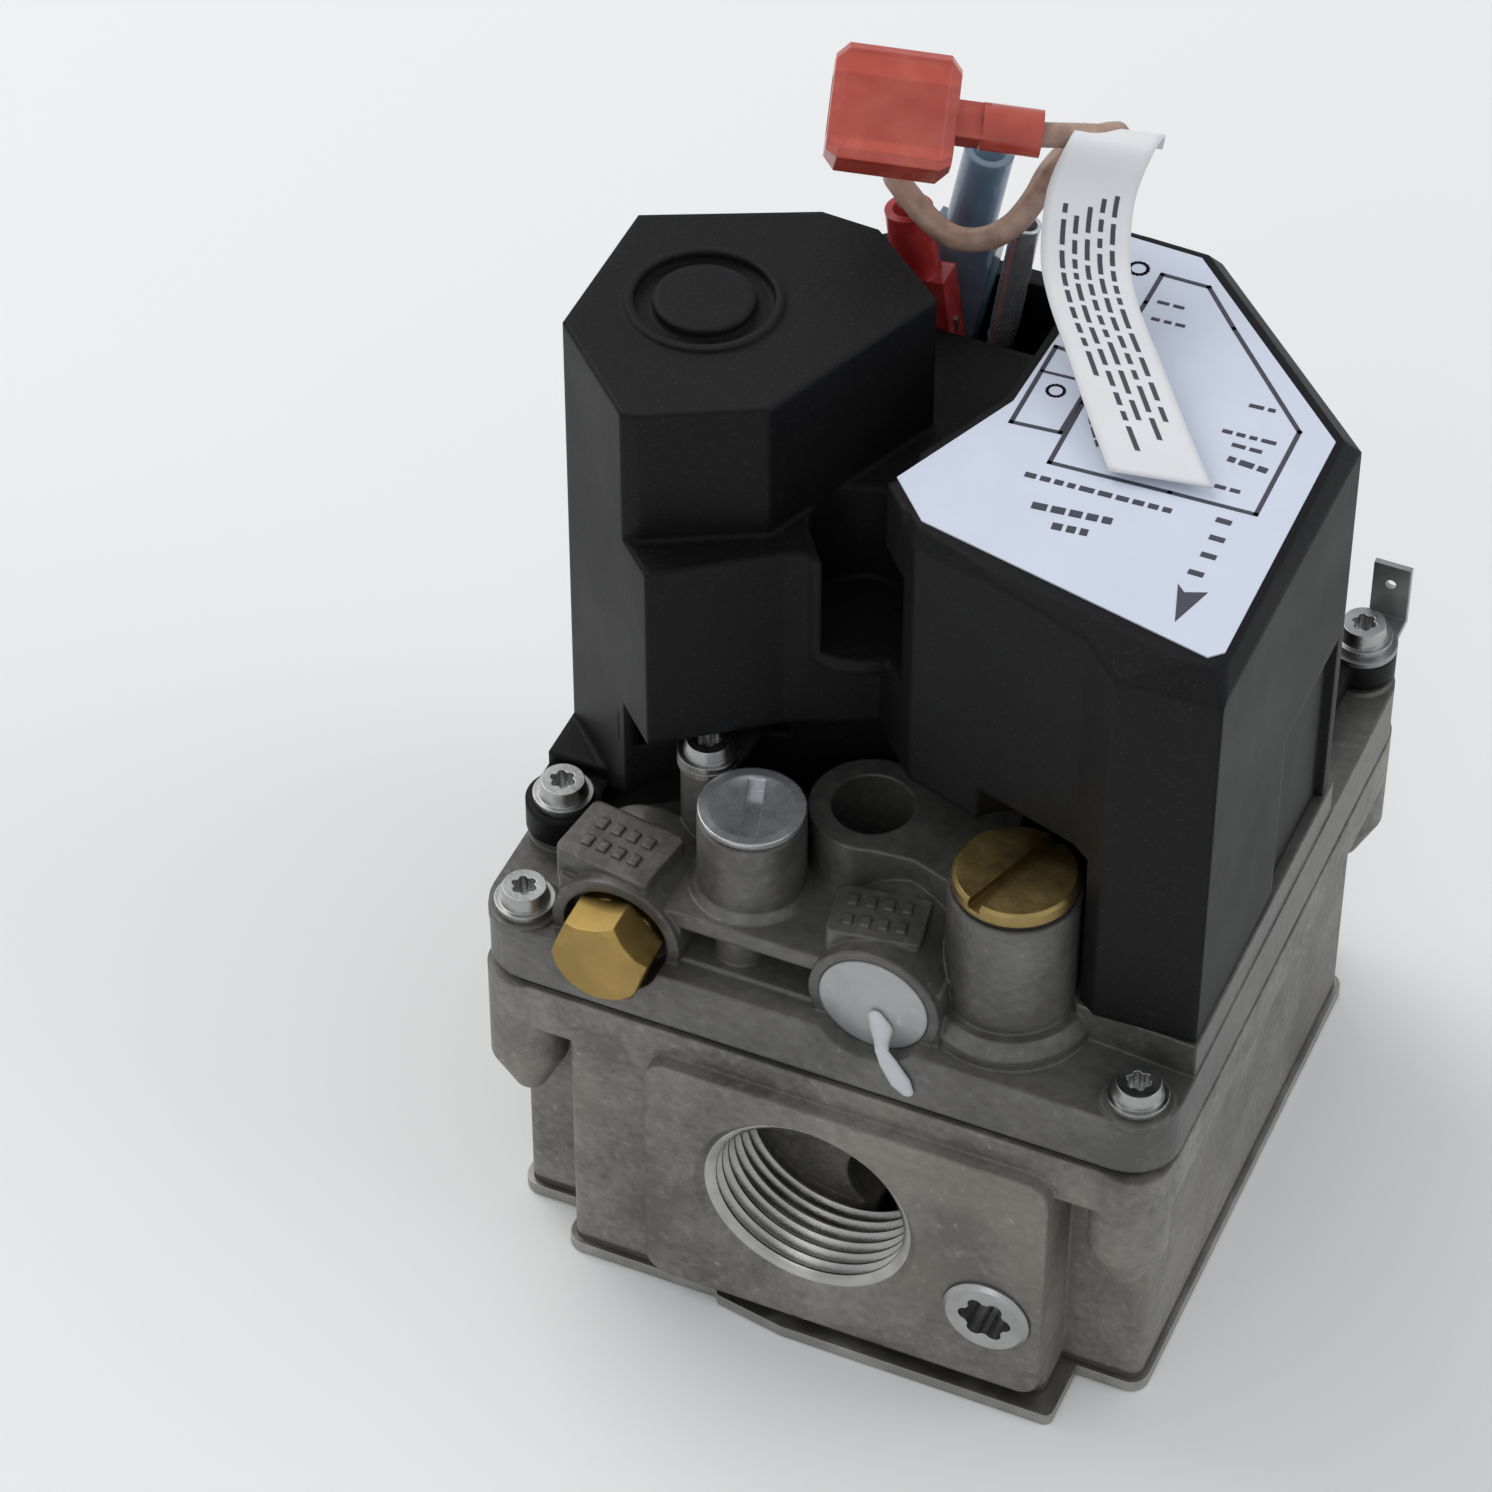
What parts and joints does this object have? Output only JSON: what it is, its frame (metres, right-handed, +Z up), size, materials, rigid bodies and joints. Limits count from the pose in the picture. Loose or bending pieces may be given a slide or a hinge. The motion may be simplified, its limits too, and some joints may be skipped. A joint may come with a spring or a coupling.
{
  "type": "gas control valve",
  "caption": "Cast two-port gas control valve with a black moulded cover over its solenoids, brass caps on top and a jumper lead with a paper tag.",
  "frame": {"origin": "centre of the underside, below the middle of the port axis", "axes": "+Z up out of the cover's top, +Y out of the inlet port, -Y out of the outlet port, +X to the right seen from the outlet"},
  "size_m": [0.0886, 0.0924, 0.1442],
  "materials": {
    "cast": "die cast, matt",
    "plate": "zinc plated sheet",
    "screws": "zinc plated",
    "gasket": "matt",
    "diaphragm": "fabric backed rubber",
    "brass": "turned",
    "steel": "turned",
    "spring": "drawn wire",
    "bright": "bright plated",
    "grey_plug": "dull metal-grey",
    "nylon": "natural nylon",
    "copper": "enamelled copper wire",
    "black": "fine textured moulding",
    "label": "printed film",
    "tab": "tin plated",
    "red": "clear red nylon",
    "blue": "clear blue nylon",
    "wire": "brown insulation",
    "paper": "paper"
  },
  "bodies": {
    "housing": {"valve_body": "cast", "bottom_plate": "plate", "bottom_plate_screws": "screws", "bottom_gasket": "gasket", "diaphragm": "diaphragm", "main_valve_spring": "spring", "inlet_screen": "steel", "outlet_tap_plug": "screws", "main_gasket": "gasket", "top_casting": "cast", "flange_screws": "screws", "brass_tap_plug": "brass", "port_closing_plug": "grey_plug", "regulator_spring": "spring", "regulator_diaphragm": "diaphragm", "left_frame": "plate", "left_bobbin": "nylon", "left_winding": "copper", "left_guide_tube": "steel", "left_core": "steel", "left_plunger_spring": "spring", "right_frame": "plate", "right_bobbin": "nylon", "right_winding": "copper", "right_guide_tube": "steel", "right_core": "steel", "right_plunger_spring": "spring", "cover": "black", "cover_label": "label", "cover_screw": "screws", "frame_screw": "screws", "ground_tab": "tab", "terminal_blades": "tab", "red_terminal": "red", "blue_terminal": "blue", "bright_sleeve": "bright", "loose_terminal": "red", "loose_receptacle": "brass", "jumper_wire": "wire", "paper_tag": "paper"},
    "main_valve": {"valve_stem": "brass", "main_valve_disc": "gasket", "diaphragm_plate": "steel"},
    "first_valve": {"left_plunger": "steel", "left_seat_disc": "gasket"},
    "pilot_valve": {"right_plunger": "steel", "right_seat_disc": "gasket"},
    "spring_seat": {"spring_seat": "steel"},
    "regulator_screw": {"regulator_screw": "nylon"},
    "cap_seal": {"cap_seal": "gasket"},
    "regulator_cap": {"regulator_cap": "brass"},
    "dome_ring": {"dome_ring": "gasket"},
    "dome_screw": {"adjuster_cover_screw": "bright"},
    "needle_ring": {"needle_ring": "gasket"},
    "needle": {"flow_needle": "brass"}
  },
  "joints": [
    {"name": "main_valve_lift", "type": "slide", "parent": "housing", "child": "main_valve", "axis": [0, 0, 1], "range_m": [0, 0.004], "stiffness_N_per_m": 400, "springref_m": -0.006, "deforming": ["main_valve_spring", "diaphragm"]},
    {"name": "first_valve_lift", "type": "slide", "parent": "housing", "child": "first_valve", "axis": [0, 0, 1], "range_m": [0, 0.002], "stiffness_N_per_m": 500, "springref_m": -0.003, "deforming": ["left_plunger_spring"]},
    {"name": "pilot_valve_lift", "type": "slide", "parent": "housing", "child": "pilot_valve", "axis": [0, 0, 1], "range_m": [0, 0.002], "stiffness_N_per_m": 500, "springref_m": -0.003, "deforming": ["right_plunger_spring"]},
    {"name": "regulator_setting", "type": "slide", "parent": "housing", "child": "spring_seat", "axis": [0, 0, 1], "range_m": [-0.00301, 0.00101], "deforming": ["regulator_spring"]},
    {"name": "regulator_screw_turn", "type": "hinge", "parent": "spring_seat", "child": "regulator_screw", "pos_m": [0.02, -0.0309, 0.067], "axis": [0, 0, 1], "range_deg": [-1080, 360]},
    {"name": "cap_lift", "type": "slide", "parent": "housing", "child": "cap_seal", "axis": [0, 0, 1], "range_m": [0, 0.00501]},
    {"name": "cap_turn", "type": "hinge", "parent": "cap_seal", "child": "regulator_cap", "pos_m": [0.02, -0.0309, 0.073], "axis": [0, 0, 1], "range_deg": [0, 1800]},
    {"name": "dome_screw_lift", "type": "slide", "parent": "housing", "child": "dome_ring", "axis": [0, 0, 1], "range_m": [0, 0.00401]},
    {"name": "dome_screw_turn", "type": "hinge", "parent": "dome_ring", "child": "dome_screw", "pos_m": [-0.0129, -0.031, 0.0703], "axis": [0, 0, 1], "range_deg": [0, 1440]},
    {"name": "needle_setting", "type": "slide", "parent": "housing", "child": "needle_ring", "axis": [0, 0, 1], "range_m": [-0.00151, 0.00151]},
    {"name": "needle_turn", "type": "hinge", "parent": "needle_ring", "child": "needle", "pos_m": [-0.0129, -0.031, 0.0626], "axis": [0, 0, 1], "range_deg": [-1080, 1080]}
  ],
  "couplings": [
    {"joint": "regulator_setting", "follows": "regulator_screw_turn", "m_per_rad": 0.00015915},
    {"joint": "cap_lift", "follows": "cap_turn", "m_per_rad": 0.00015915},
    {"joint": "dome_screw_lift", "follows": "dome_screw_turn", "m_per_rad": 0.00015915},
    {"joint": "needle_setting", "follows": "needle_turn", "m_per_rad": 0.000079577}
  ]
}
